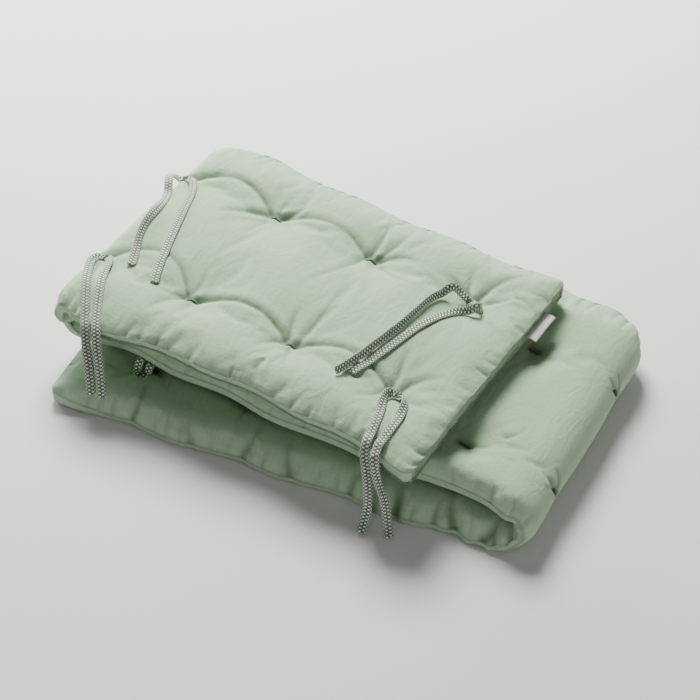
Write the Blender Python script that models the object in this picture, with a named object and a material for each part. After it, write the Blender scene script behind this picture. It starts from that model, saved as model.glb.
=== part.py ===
"""Crib bumper: a long tufted cotton pad with braided tape ties, folded in three layers.

Metres, +Z up. The origin is at the middle of the folded pad's underside. The pad
starts at its labelled end on top, runs towards -X, turns down over the left fold, runs
back towards +X, turns down over the right fold and ends free at the bottom left.
"""
import math

import bmesh
import bpy
from mathutils import Matrix, Vector

# The pad as it is sewn, laid out flat.
WIDTH = 0.300
FIRST_TUFT = 0.067
TUFT_PITCH = 0.118
TUFT_COLUMNS = 13
LAST_MARGIN = 0.082
LENGTH = FIRST_TUFT + (TUFT_COLUMNS - 1) * TUFT_PITCH + LAST_MARGIN
TUFT_ROW = 0.075
CORNER_RADIUS = 0.018
SIDE_PULL = 0.0025

# Half thicknesses of the filled pad.
CROWN = 0.013
SEAM_BAND = 0.005
CROWN_RISE = 0.034
TUFT_DEPTH = 0.70
TUFT_SPREAD = 0.020
EDGE_DROOP = 0.004

# How it is folded. A fold turns through half a circle, squared off a little.
LAYER_PITCH = 0.029
BOTTOM_MIDDLE = 0.0115
FOLD_CLOTH = 0.088
FOLD_SQUARENESS = 0.75
LABEL_END = Vector((0.1565, 0.012, BOTTOM_MIDDLE + 2 * LAYER_PITCH))

# Each layer from the labelled end. It runs at one heading, in degrees, and veers to
# another between two places along the whole pad. It may climb a little on its way.
LAYERS = (
    dict(length=0.3980, climb=0.008, heading=178.2, veered=178.2, veer_from=0.0, veer_to=0.1),
    dict(length=0.4860, climb=0.0, heading=-1.8, veered=2.5, veer_from=0.84, veer_to=0.96),
    dict(length=0.5050, climb=0.0, heading=182.5, veered=187.2, veer_from=1.06, veer_to=1.24),
)

# Distances from the middle line to the front and back seams, which crumple unevenly.
SIDES = (
    dict(place=0.00, front=0.152, back=0.146),
    dict(place=0.10, front=0.143, back=0.147),
    dict(place=0.25, front=0.143, back=0.150),
    dict(place=0.36, front=0.156, back=0.156),
    dict(place=0.44, front=0.150, back=0.152),
    dict(place=0.56, front=0.131, back=0.150),
    dict(place=0.76, front=0.131, back=0.150),
    dict(place=0.87, front=0.122, back=0.165),
    dict(place=0.93, front=0.118, back=0.168),
    dict(place=0.97, front=0.126, back=0.156),
    dict(place=1.015, front=0.132, back=0.140),
    dict(place=1.10, front=0.138, back=0.145),
    dict(place=1.30, front=0.145, back=0.148),
    dict(place=LENGTH, front=0.142, back=0.145),
)

# Spacing of the mesh.
STATIONS_PER_PITCH = 8
ACROSS = (0.0, 0.025, 0.050, 0.075, 0.098, 0.120, 0.138, 0.150)
WALK_STEPS = 20

# Braided tape of the ties. Each tie is one length of tape, tacked to a tuft at its middle.
# Its route runs from the end of one tail, over the tack, to the end of the other.
# Each point is x, y, z and how far the tape leans over on its edge, in degrees.
TAPE_WIDTH = 0.009
TAPE_THICK = 0.002
STEPS_BETWEEN_POINTS = 2
TIES = {
    "tie_label_back": (
        (0.0322, -0.0755, 0.0900, 70), (0.0387, -0.0545, 0.0900, 70), (0.0448, -0.0330, 0.0900, 70),
        (0.0505, -0.0115, 0.0900, 70), (0.0555, 0.0100, 0.0900, 70), (0.0580, 0.0290, 0.0900, 70),
        (0.0592, 0.0470, 0.0900, 70), (0.0608, 0.0640, 0.0895, 70), (0.0660, 0.0780, 0.0910, 60),
        (0.0735, 0.0870, 0.0915, 35), (0.0805, 0.0885, 0.0850, 10), (0.0885, 0.0880, 0.0815, 0),
        (0.0965, 0.0870, 0.0825, -15), (0.1050, 0.0840, 0.0855, -60), (0.1080, 0.0775, 0.0885, -75),
        (0.1020, 0.0715, 0.0895, -60), (0.0910, 0.0660, 0.0885, -30), (0.0805, 0.0510, 0.0865, 0),
        (0.0725, 0.0310, 0.0865, 0), (0.0670, 0.0110, 0.0865, 0), (0.0620, -0.0080, 0.0865, 0),
        (0.0560, -0.0270, 0.0865, 0), (0.0500, -0.0460, 0.0860, 0), (0.0435, -0.0650, 0.0865, 0)),
    "tie_label_front": (
        (0.1190, -0.1740, 0.0030, 0), (0.1170, -0.1650, 0.0075, 0), (0.1165, -0.1580, 0.0180, 0),
        (0.1150, -0.1540, 0.0310, 0), (0.1120, -0.1500, 0.0450, 0), (0.1080, -0.1460, 0.0600, 0),
        (0.1030, -0.1410, 0.0730, 0), (0.1000, -0.1295, 0.0825, 0), (0.0975, -0.1130, 0.0850, 0),
        (0.0930, -0.0940, 0.0860, 10), (0.0870, -0.0775, 0.0870, 50), (0.0860, -0.0670, 0.0855, 50),
        (0.0930, -0.0630, 0.0815, 0), (0.1015, -0.0650, 0.0855, -50), (0.1080, -0.0730, 0.0870, -50),
        (0.1115, -0.0885, 0.0860, -10), (0.1130, -0.1020, 0.0850, 0), (0.1125, -0.1160, 0.0845, 0),
        (0.1120, -0.1290, 0.0825, 0), (0.1145, -0.1425, 0.0770, 0), (0.1190, -0.1475, 0.0620, 0),
        (0.1245, -0.1495, 0.0460, 0), (0.1305, -0.1500, 0.0300, 0), (0.1355, -0.1540, 0.0160, 0),
        (0.1400, -0.1590, 0.0070, 0), (0.1445, -0.1660, 0.0030, 0)),
    "tie_fold_back": (
        (-0.2245, -0.0505, 0.0915, 0), (-0.2290, -0.0380, 0.0925, 20), (-0.2355, -0.0240, 0.0940, 40),
        (-0.2415, -0.0090, 0.0950, 50), (-0.2455, 0.0060, 0.0950, 50), (-0.2470, 0.0210, 0.0950, 40),
        (-0.2490, 0.0370, 0.0935, 20), (-0.2535, 0.0520, 0.0915, 0), (-0.2595, 0.0660, 0.0895, 0),
        (-0.2670, 0.0790, 0.0915, 0), (-0.2725, 0.0890, 0.0895, 0), (-0.2705, 0.0975, 0.0825, 0),
        (-0.2620, 0.1000, 0.0785, 0), (-0.2540, 0.0995, 0.0885, 0), (-0.2460, 0.0935, 0.0925, 30),
        (-0.2385, 0.0815, 0.0925, 15), (-0.2315, 0.0660, 0.0915, 0), (-0.2255, 0.0480, 0.0920, 0),
        (-0.2195, 0.0300, 0.0920, 0), (-0.2135, 0.0110, 0.0920, 0), (-0.2075, -0.0080, 0.0915, 0),
        (-0.2015, -0.0280, 0.0915, 0), (-0.1960, -0.0450, 0.0910, 0), (-0.1900, -0.0590, 0.0905, 0)),
    "tie_fold_front": (
        (-0.1905, -0.1740, 0.0290, 0), (-0.1965, -0.1660, 0.0395, 0), (-0.2040, -0.1570, 0.0530, 0),
        (-0.2125, -0.1475, 0.0670, 0), (-0.2205, -0.1360, 0.0815, 0), (-0.2305, -0.1210, 0.0900, 0),
        (-0.2415, -0.1040, 0.0920, 0), (-0.2535, -0.0850, 0.0915, 0), (-0.2640, -0.0670, 0.0905, 20),
        (-0.2665, -0.0540, 0.0845, 20), (-0.2590, -0.0480, 0.0880, 0), (-0.2510, -0.0510, 0.0915, 20),
        (-0.2450, -0.0620, 0.0925, 20), (-0.2375, -0.0810, 0.0925, 0), (-0.2275, -0.1000, 0.0915, 0),
        (-0.2175, -0.1175, 0.0910, 0), (-0.2085, -0.1335, 0.0860, 0), (-0.1985, -0.1480, 0.0690, 0),
        (-0.1905, -0.1575, 0.0520, 0), (-0.1835, -0.1665, 0.0390, 0), (-0.1780, -0.1740, 0.0300, 0)),
    "tie_inner_front": (
        (-0.1790, 0.0410, 0.0260, 0), (-0.1788, 0.0210, 0.0260, 0), (-0.1785, 0.0010, 0.0260, 0),
        (-0.1782, -0.0190, 0.0260, 0), (-0.1779, -0.0390, 0.0260, 0), (-0.1776, -0.0590, 0.0260, 0),
        (-0.1773, -0.0770, 0.0260, 0), (-0.1771, -0.0920, 0.0260, 0), (-0.1770, -0.1040, 0.0258, 0),
        (-0.1769, -0.1135, 0.0254, 0), (-0.1751, -0.1178, 0.0250, 0), (-0.1708, -0.1196, 0.0248, 0),
        (-0.1665, -0.1178, 0.0250, 0), (-0.1647, -0.1135, 0.0254, 0), (-0.1646, -0.1040, 0.0258, 0),
        (-0.1645, -0.0920, 0.0260, 0), (-0.1643, -0.0770, 0.0260, 0), (-0.1640, -0.0590, 0.0260, 0),
        (-0.1637, -0.0390, 0.0260, 0), (-0.1634, -0.0190, 0.0260, 0), (-0.1631, 0.0010, 0.0260, 0),
        (-0.1628, 0.0210, 0.0260, 0), (-0.1625, 0.0410, 0.0260, 0)),
}

# The label is a folded woven tab in the end seam.
LABEL_LONG = 0.041
LABEL_OUT = 0.0105
LABEL_THICK = 0.0012
LABEL_MIDDLE = 0.0885
SEAM_GAP = 0.0003


def smooth(share):
    """Ease from 0 to 1."""
    share = min(max(share, 0.0), 1.0)
    return share * share * (3 - 2 * share)


def fold_turn(share):
    """Angle turned at a share of the way round a fold, quickest at its two corners."""
    return math.pi * share - FOLD_SQUARENESS * math.sin(4 * math.pi * share) / 4


def fold_pace(drop):
    """Laid length for each length of cloth in a fold that comes down by a given drop."""
    sines = [math.sin(fold_turn((step + 0.5) / WALK_STEPS)) for step in range(WALK_STEPS)]
    return drop * WALK_STEPS / (FOLD_CLOTH * sum(sines))


def posture(place):
    """How the pad lies at a place along it: heading, turn, side and pace.

    The heading is in radians. The turn goes from 0 to pi round a fold, downwards. The side is +1
    where the cloth that starts on top faces up, and -1 where it faces down. The pace is
    the laid length for each length of cloth, less than 1 in the folds.
    """
    side = 1
    start = 0.0
    for layer in LAYERS:
        end = start + layer["length"]
        if place <= end or layer is LAYERS[-1]:
            veer = smooth((place - layer["veer_from"]) / (layer["veer_to"] - layer["veer_from"]))
            heading = layer["heading"] + veer * (layer["veered"] - layer["heading"])
            return math.radians(heading), -layer["climb"] / layer["length"], side, 1.0
        start = end + FOLD_CLOTH
        if place <= start:
            turn = fold_turn((place - end) / FOLD_CLOTH)
            pace = fold_pace(LAYER_PITCH + layer["climb"])
            return math.radians(layer["veered"]), turn, side, pace
        side = -side


def directions(place):
    """Unit vectors at a place along the pad: onwards, across it, and out of its first upper side."""
    heading, turn, side, pace = posture(place)
    ahead = Vector((math.cos(heading), math.sin(heading), 0))
    up = Vector((0, 0, 1))
    onwards = ahead * math.cos(turn) - up * math.sin(turn)
    across = Vector((ahead.y, -ahead.x, 0)) * side
    outwards = (up * math.cos(turn) + ahead * math.sin(turn)) * side
    return onwards * pace, across, outwards


def middle_line(places):
    """The pad's middle point at each place, walked from the labelled end."""
    point = LABEL_END.copy()
    reached = 0.0
    points = []
    for place in places:
        stride = (place - reached) / WALK_STEPS
        for step in range(WALK_STEPS):
            onwards, _, _ = directions(reached + (step + 0.5) * stride)
            point += onwards * stride
        reached = place
        points.append(point.copy())
    return points


def stations():
    """Places along the pad for the mesh: eight to a tuft, and twice as close in the folds."""
    step = TUFT_PITCH / STATIONS_PER_PITCH
    before = int(FIRST_TUFT / step)
    count = before + (TUFT_COLUMNS - 1) * STATIONS_PER_PITCH + int(LAST_MARGIN / step) + 1
    places = [FIRST_TUFT + (number - before) * step for number in range(count)]
    places = [0.0] + [place for place in places if step / 2 < place < LENGTH - step / 2] + [LENGTH]
    doubled = []
    for place, following in zip(places, places[1:]):
        doubled.append(place)
        _, _, _, pace = posture((place + following) / 2)
        if pace != 1.0:
            doubled.append((place + following) / 2)
    return doubled + [LENGTH]


def tufts():
    """Each tuft's place along and across the flat pad."""
    for column in range(TUFT_COLUMNS):
        for row in (-TUFT_ROW, TUFT_ROW):
            yield FIRST_TUFT + column * TUFT_PITCH, row


def half_width(place, side):
    """Distance from the middle line to the front or back seam, with its corners rounded."""
    for row, following in zip(SIDES, SIDES[1:]):
        if place <= following["place"]:
            break
    share = smooth((place - row["place"]) / (following["place"] - row["place"]))
    width = row[side] + share * (following[side] - row[side])
    width -= SIDE_PULL * math.cos(2 * math.pi * (place - FIRST_TUFT) / TUFT_PITCH)
    short = CORNER_RADIUS - min(place, LENGTH - place)
    if short > 0:
        width -= CORNER_RADIUS - math.sqrt(CORNER_RADIUS ** 2 - short ** 2)
    return width


def flatten_out(place, column):
    """Where a column of the flat pad ends up across it, between its uneven seams."""
    half = WIDTH / 2
    side = "back" if column > 0 else "front"
    narrowing = 1 - half_width(place, side) / half
    return column * (1 - narrowing * (abs(column) / half) ** 2)


def rise(place, column):
    """How far a place is from the nearest seam, as a share of the crown's rise."""
    edge = min(place, LENGTH - place, WIDTH / 2 - abs(column))
    return min(max(edge / CROWN_RISE, 0.0), 1.0)


def half_thickness(place, column):
    """Half the filled thickness: a crown that falls to the side band, dimpled at the tufts."""
    share = rise(place, column)
    crown = SEAM_BAND + (CROWN - SEAM_BAND) * math.sqrt(1 - (1 - share) ** 2)
    for tuft_place, tuft_row in tufts():
        distance = math.hypot(place - tuft_place, column - tuft_row)
        crown *= 1 - TUFT_DEPTH * math.exp(-distance / TUFT_SPREAD)
    return crown


def across_positions():
    """The mesh's columns across the flat pad, from the front seam to the back."""
    return [-position for position in reversed(ACROSS[1:])] + list(ACROSS)


def make_material(name, colour, roughness):
    """A cloth finish."""
    material = bpy.data.materials.new(name)
    material.use_nodes = True
    shader = material.node_tree.nodes["Principled BSDF"]
    shader.inputs["Base Color"].default_value = (*colour, 1)
    shader.inputs["Roughness"].default_value = roughness
    shader.inputs["Metallic"].default_value = 0
    return material


def finish_object(name, bm, material):
    """Turn the built mesh into an object with its material."""
    bmesh.ops.recalc_face_normals(bm, faces=bm.faces[:])
    if bm.calc_volume(signed=True) < 0:
        bmesh.ops.reverse_faces(bm, faces=bm.faces[:])
    mesh = bpy.data.meshes.new(name)
    bm.to_mesh(mesh)
    bm.free()
    mesh.materials.append(material)
    piece = bpy.data.objects.new(name, mesh)
    bpy.context.collection.objects.link(piece)
    return piece


def thick_grid(long_steps, cross_steps):
    """A flat grid with a second side, and each vertex's row, column and side, +1 or -1."""
    bm = bmesh.new()
    bmesh.ops.create_grid(bm, x_segments=long_steps, y_segments=cross_steps, size=1)
    thick = bmesh.ops.extrude_face_region(bm, geom=bm.faces[:])
    upper = {item for item in thick["geom"] if isinstance(item, bmesh.types.BMVert)}
    spots = []
    for vertex in bm.verts:
        row = round((vertex.co.x + 1) / 2 * long_steps)
        column = round((vertex.co.y + 1) / 2 * cross_steps)
        spots.append((vertex, row, column, 1 if vertex in upper else -1))
    return bm, spots


def build_quilt(material):
    """The filled pad, one solid: a flat panel thickened, crowned and folded."""
    places = stations()
    middles = middle_line(places)
    columns = across_positions()
    bm, spots = thick_grid(len(places) - 1, len(columns) - 1)
    for vertex, row, column_number, side in spots:
        place = places[row]
        column = columns[column_number]
        _, across, outwards = directions(place)
        lift = half_thickness(place, column) * side
        point = middles[row] + across * flatten_out(place, column) + outwards * lift
        point.z -= EDGE_DROOP * (1 - rise(place, column)) ** 2
        point.z = max(point.z, 0.0)
        vertex.co = point
    return finish_object("quilt", bm, material)


def smooth_route(route):
    """Points and leans along a smooth curve through the route's own points."""
    rows = [Vector(row) for row in route]
    rows = [2 * rows[0] - rows[1]] + rows + [2 * rows[-1] - rows[-2]]
    points = []
    for before, start, end, after in zip(rows, rows[1:], rows[2:], rows[3:]):
        for step in range(STEPS_BETWEEN_POINTS):
            share = step / STEPS_BETWEEN_POINTS
            points.append(0.5 * (
                2 * start
                + (end - before) * share
                + (2 * before - 5 * start + 4 * end - after) * share ** 2
                + (3 * start - before - 3 * end + after) * share ** 3
            ))
    points.append(rows[-2])
    return points


def build_tie(name, route, material):
    """One tie: a strip of tape swept along its route, its flat side up but for its lean."""
    rows = smooth_route(route)
    last = len(rows) - 1
    bm, spots = thick_grid(last, 1)
    for vertex, number, column, side in spots:
        ahead = rows[min(number + 1, last)] - rows[max(number - 1, 0)]
        onwards = ahead.to_3d().normalized()
        level = onwards.cross(Vector((0, 0, 1))).normalized()
        lean = Matrix.Rotation(math.radians(rows[number].w), 3, onwards)
        across = lean @ level
        flat = lean @ level.cross(onwards)
        sideways = (column - 0.5) * TAPE_WIDTH
        vertex.co = rows[number].to_3d() + across * sideways + flat * side * TAPE_THICK / 2
    return finish_object(name, bm, material)


def build_label(material):
    """The blank woven tab that stands out of the end seam."""
    heading, _, _, _ = posture(0.0)
    outwards = Vector((-math.cos(heading), -math.sin(heading), 0))
    across = Vector((-outwards.y, outwards.x, 0))
    seam = LABEL_END + across * LABEL_MIDDLE
    seam.z -= EDGE_DROOP
    middle = seam + outwards * (SEAM_GAP + LABEL_OUT / 2)
    turned = Matrix((outwards, across, Vector((0, 0, 1)))).transposed().to_4x4()
    size = Matrix.Diagonal((LABEL_OUT, LABEL_LONG, LABEL_THICK, 1))
    bm = bmesh.new()
    bmesh.ops.create_cube(bm, size=1, matrix=Matrix.Translation(middle) @ turned @ size)
    return finish_object("label", bm, material)


def main():
    """Clear the scene and build every piece."""
    for piece in list(bpy.data.objects):
        bpy.data.objects.remove(piece, do_unlink=True)
    build_quilt(make_material("Sage cotton", (0.50, 0.57, 0.47), 0.9))
    build_label(make_material("Label weave", (0.80, 0.76, 0.72), 0.7))
    tape = make_material("Braided tape", (0.36, 0.44, 0.35), 0.85)
    for name, route in TIES.items():
        build_tie(name, route, tape)


main()
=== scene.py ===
# Crib bumper: a tufted cotton pad folded in three, with braided ties and a blank tab. Metres, +Z up.
import math
import random

import bmesh
import bpy
import numpy as np
from mathutils import Matrix, Quaternion, Vector, noise
from mathutils.bvhtree import BVHTree


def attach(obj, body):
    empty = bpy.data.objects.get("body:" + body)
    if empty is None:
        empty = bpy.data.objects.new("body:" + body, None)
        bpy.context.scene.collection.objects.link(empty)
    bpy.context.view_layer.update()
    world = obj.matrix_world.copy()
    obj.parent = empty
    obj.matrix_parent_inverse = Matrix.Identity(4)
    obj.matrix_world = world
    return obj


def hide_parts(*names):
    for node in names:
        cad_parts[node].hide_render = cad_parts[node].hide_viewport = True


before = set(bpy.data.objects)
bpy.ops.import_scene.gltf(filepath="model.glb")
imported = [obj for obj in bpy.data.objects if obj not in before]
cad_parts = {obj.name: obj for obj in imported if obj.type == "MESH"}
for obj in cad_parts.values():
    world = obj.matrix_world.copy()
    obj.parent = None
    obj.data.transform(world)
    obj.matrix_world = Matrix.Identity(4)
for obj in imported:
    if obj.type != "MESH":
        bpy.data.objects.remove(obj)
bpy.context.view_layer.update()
scene = bpy.context.scene


# the camera, floor and light
view = dict(lookAt=(0.0085, -0.008, 0.05), away=1.95, azimuth=30.87, elevation=44.03, roll=-0.17, lens=100.6)


def linkNew(name, data):
    piece = bpy.data.objects.new(name, data)
    bpy.context.collection.objects.link(piece)
    return piece


def makeCamera():
    azimuth, elevation = math.radians(view["azimuth"]), math.radians(view["elevation"])
    level = Vector((math.sin(azimuth), -math.cos(azimuth), 0))
    back = level * math.cos(elevation) + Vector((0, 0, math.sin(elevation)))
    data = bpy.data.cameras.new("camera")
    data.lens = view["lens"]
    camera = linkNew("camera", data)
    camera.rotation_mode = "QUATERNION"
    camera.location = Vector(view["lookAt"]) + back * view["away"]
    roll = Quaternion((0, 0, 1), math.radians(view["roll"]))
    camera.rotation_quaternion = (-back).to_track_quat("-Z", "Y") @ roll
    scene.camera = camera


def makeStage():
    bm = bmesh.new()
    bmesh.ops.create_grid(bm, x_segments=1, y_segments=1, size=6)
    floor = linkNew("floor", bpy.data.meshes.new("floor"))
    bm.to_mesh(floor.data)
    bm.free()
    paper = bpy.data.materials.new("pale paper")
    paper.use_nodes = True
    shader = paper.node_tree.nodes["Principled BSDF"]
    shader.inputs["Base Color"].default_value = (0.835, 0.82, 0.83, 1)
    shader.inputs["Roughness"].default_value = 0.9
    floor.data.materials.append(paper)
    lamps = (
        dict(name="window", at=(-0.95, 1.28, 1.47), size=0.85, power=122, tint=(0.965, 1.0, 0.94)),
        dict(name="reflector", at=(-1.95, 0.80, 0.42), size=1.0, power=48, tint=(0.965, 1.0, 0.95)),
        dict(name="card", at=(0.35, -1.95, 0.20), size=0.38, power=6.5, tint=(1.0, 0.97, 0.97)),
        dict(name="side card", at=(2.15, 0.10, 0.42), size=0.6, power=6, tint=(1.0, 0.97, 0.97)),
    )
    for lamp in lamps:
        data = bpy.data.lights.new(lamp["name"], "AREA")
        data.size = lamp["size"]
        data.energy = lamp["power"]
        data.color = lamp["tint"]
        light = linkNew(lamp["name"], data)
        light.location = lamp["at"]
        aim = Vector(view["lookAt"]) - light.location
        light.rotation_euler = aim.to_track_quat("-Z", "Y").to_euler()
    world = bpy.data.worlds.new("soft sky")
    world.use_nodes = True
    world.node_tree.nodes["Background"].inputs["Color"].default_value = (1.0, 0.95, 0.97, 1)
    world.node_tree.nodes["Background"].inputs["Strength"].default_value = 0.17
    scene.world = world


makeCamera()
makeStage()
print("camera, floor and light")


# braided ties: routes from the end of one tail, over the tack, to the end of the other
# each point is x, y, z and how far the tape leans over on its edge, in degrees

tape = dict(width=0.009, thick=0.0024, ring=0.0009, around=36, cornering=0.62,
            stitch=0.0036, ribs=5, relief=0.00016, lift=0.0003)

tieRoutes = {
    "tie_label_back": dict(tack=11, points=(
        (0.0322, -0.0755, 0.0900, 70), (0.0387, -0.0545, 0.0900, 70), (0.0448, -0.0330, 0.0900, 70),
        (0.0505, -0.0115, 0.0900, 70), (0.0555, 0.0100, 0.0900, 70), (0.0580, 0.0290, 0.0900, 70),
        (0.0592, 0.0470, 0.0900, 70), (0.0608, 0.0640, 0.0895, 70), (0.0660, 0.0780, 0.0910, 60),
        (0.0735, 0.0870, 0.0915, 35), (0.0805, 0.0885, 0.0850, 10), (0.0885, 0.0880, 0.0815, 0),
        (0.0965, 0.0870, 0.0825, -15), (0.1050, 0.0840, 0.0855, -60), (0.1080, 0.0775, 0.0885, -75),
        (0.1020, 0.0715, 0.0895, -60), (0.0910, 0.0660, 0.0885, -30), (0.0805, 0.0510, 0.0865, 0),
        (0.0725, 0.0310, 0.0865, 0), (0.0670, 0.0110, 0.0865, 0), (0.0620, -0.0080, 0.0865, 0),
        (0.0560, -0.0270, 0.0865, 0), (0.0500, -0.0460, 0.0860, 0), (0.0435, -0.0650, 0.0865, 0))),
    "tie_label_front": dict(tack=12, points=(
        (0.1190, -0.1740, 0.0030, 0), (0.1170, -0.1650, 0.0075, 0), (0.1165, -0.1580, 0.0180, 0),
        (0.1150, -0.1540, 0.0310, 0), (0.1120, -0.1500, 0.0450, 0), (0.1080, -0.1460, 0.0600, 0),
        (0.1030, -0.1410, 0.0730, 0), (0.1000, -0.1295, 0.0825, 0), (0.0975, -0.1130, 0.0850, 0),
        (0.0930, -0.0940, 0.0860, 10), (0.0870, -0.0775, 0.0870, 50), (0.0860, -0.0670, 0.0855, 50),
        (0.0930, -0.0630, 0.0815, 0), (0.1015, -0.0650, 0.0855, -50), (0.1080, -0.0730, 0.0870, -50),
        (0.1115, -0.0885, 0.0860, -10), (0.1130, -0.1020, 0.0850, 0), (0.1125, -0.1160, 0.0845, 0),
        (0.1120, -0.1290, 0.0825, 0), (0.1145, -0.1425, 0.0770, 0), (0.1190, -0.1475, 0.0620, 0),
        (0.1245, -0.1495, 0.0460, 0), (0.1305, -0.1500, 0.0300, 0), (0.1355, -0.1540, 0.0160, 0),
        (0.1400, -0.1590, 0.0070, 0), (0.1445, -0.1660, 0.0030, 0))),
    "tie_fold_back": dict(tack=12, points=(
        (-0.2245, -0.0505, 0.0915, 0), (-0.2290, -0.0380, 0.0925, 20), (-0.2355, -0.0240, 0.0940, 40),
        (-0.2415, -0.0090, 0.0950, 50), (-0.2455, 0.0060, 0.0950, 50), (-0.2470, 0.0210, 0.0950, 40),
        (-0.2490, 0.0370, 0.0935, 20), (-0.2535, 0.0520, 0.0915, 0), (-0.2595, 0.0660, 0.0895, 0),
        (-0.2670, 0.0790, 0.0915, 0), (-0.2725, 0.0890, 0.0895, 0), (-0.2705, 0.0975, 0.0825, 0),
        (-0.2620, 0.1000, 0.0785, 0), (-0.2540, 0.0995, 0.0885, 0), (-0.2460, 0.0935, 0.0925, 30),
        (-0.2385, 0.0815, 0.0925, 15), (-0.2315, 0.0660, 0.0915, 0), (-0.2255, 0.0480, 0.0920, 0),
        (-0.2195, 0.0300, 0.0920, 0), (-0.2135, 0.0110, 0.0920, 0), (-0.2075, -0.0080, 0.0915, 0),
        (-0.2015, -0.0280, 0.0915, 0), (-0.1960, -0.0450, 0.0910, 0), (-0.1900, -0.0590, 0.0905, 0))),
    "tie_fold_front": dict(tack=10, points=(
        (-0.1905, -0.1740, 0.0290, 0), (-0.1965, -0.1660, 0.0395, 0), (-0.2040, -0.1570, 0.0530, 0),
        (-0.2125, -0.1475, 0.0670, 0), (-0.2205, -0.1360, 0.0815, 0), (-0.2305, -0.1210, 0.0900, 0),
        (-0.2415, -0.1040, 0.0920, 0), (-0.2535, -0.0850, 0.0915, 0), (-0.2640, -0.0670, 0.0905, 20),
        (-0.2665, -0.0540, 0.0845, 20), (-0.2590, -0.0480, 0.0880, 0), (-0.2510, -0.0510, 0.0915, 20),
        (-0.2450, -0.0620, 0.0925, 20), (-0.2375, -0.0810, 0.0925, 0), (-0.2275, -0.1000, 0.0915, 0),
        (-0.2175, -0.1175, 0.0910, 0), (-0.2085, -0.1335, 0.0860, 0), (-0.1985, -0.1480, 0.0690, 0),
        (-0.1905, -0.1575, 0.0520, 0), (-0.1835, -0.1665, 0.0390, 0), (-0.1780, -0.1740, 0.0300, 0))),
    "tie_inner_front": dict(tack=11, points=(
        (-0.1790, 0.0410, 0.0260, 0), (-0.1788, 0.0210, 0.0260, 0), (-0.1785, 0.0010, 0.0260, 0),
        (-0.1782, -0.0190, 0.0260, 0), (-0.1779, -0.0390, 0.0260, 0), (-0.1776, -0.0590, 0.0260, 0),
        (-0.1773, -0.0770, 0.0260, 0), (-0.1771, -0.0920, 0.0260, 0), (-0.1770, -0.1040, 0.0258, 0),
        (-0.1769, -0.1135, 0.0254, 0), (-0.1751, -0.1178, 0.0250, 0), (-0.1708, -0.1196, 0.0248, 0),
        (-0.1665, -0.1178, 0.0250, 0), (-0.1647, -0.1135, 0.0254, 0), (-0.1646, -0.1040, 0.0258, 0),
        (-0.1645, -0.0920, 0.0260, 0), (-0.1643, -0.0770, 0.0260, 0), (-0.1640, -0.0590, 0.0260, 0),
        (-0.1637, -0.0390, 0.0260, 0), (-0.1634, -0.0190, 0.0260, 0), (-0.1631, 0.0010, 0.0260, 0),
        (-0.1628, 0.0210, 0.0260, 0), (-0.1625, 0.0410, 0.0260, 0))),
}


def smoothRoute(rows, steps):
    rows = [Vector(row) for row in rows]
    rows = [2 * rows[0] - rows[1]] + rows + [2 * rows[-1] - rows[-2]]
    points = []
    for before, start, end, after in zip(rows, rows[1:], rows[2:], rows[3:]):
        for step in range(steps):
            share = step / steps
            points.append(0.5 * (
                2 * start
                + (end - before) * share
                + (2 * before - 5 * start + 4 * end - after) * share ** 2
                + (3 * start - before - 3 * end + after) * share ** 3
            ))
    points.append(rows[-2])
    return points


def evenRows(rows, spacing):
    # the same curve with its points one spacing apart
    table = np.array([row[:] for row in rows])
    reach = np.concatenate(([0], np.cumsum(np.linalg.norm(np.diff(table[:, :3], axis=0), axis=1))))
    marks = np.linspace(0, reach[-1], max(2, round(reach[-1] / spacing)) + 1)
    return np.stack([np.interp(marks, reach, table[:, axis]) for axis in range(4)], axis=1), marks


# the pad: sewn flat, tufted, settled as cloth, then folded
pad = dict(width=0.300, firstTuft=0.067, pitch=0.118, columns=13, lastMargin=0.082, tuftRow=0.075,
           cornerRadius=0.009, sidePull=0.0025)
pad["length"] = pad["firstTuft"] + (pad["columns"] - 1) * pad["pitch"] + pad["lastMargin"]

# half thicknesses, and the bar tack that draws each tuft down
loft = dict(crown=0.0122, rise=0.034, tuftDepth=0.90, tuftSpread=0.019,
            tackLong=0.011, tackWide=0.003, inner=0.0135)

folded = dict(layerPitch=0.029, bottomMiddle=0.0115, tableStep=0.0005)
folded["labelEnd"] = (0.1565, 0.012, folded["bottomMiddle"] + 2 * folded["layerPitch"])

# each layer from the labelled end: its heading in degrees, veering to another between two places,
# and the cloth, squareness and reach of the fold that ends it
layers = (
    dict(length=0.3980, climb=0.008, heading=178.2, veered=178.2, veerFrom=0.0, veerTo=0.1,
         cloth=0.088, square=0.75, reach=1.0),
    dict(length=0.4644, climb=0.0, heading=-1.8, veered=2.5, veerFrom=0.84, veerTo=0.94,
         cloth=0.1312, square=0.2, reach=1.8),
    dict(length=0.4834, climb=0.0, heading=182.5, veered=187.2, veerFrom=1.08, veerTo=1.24,
         cloth=0, square=0, reach=1.0),
)

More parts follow.
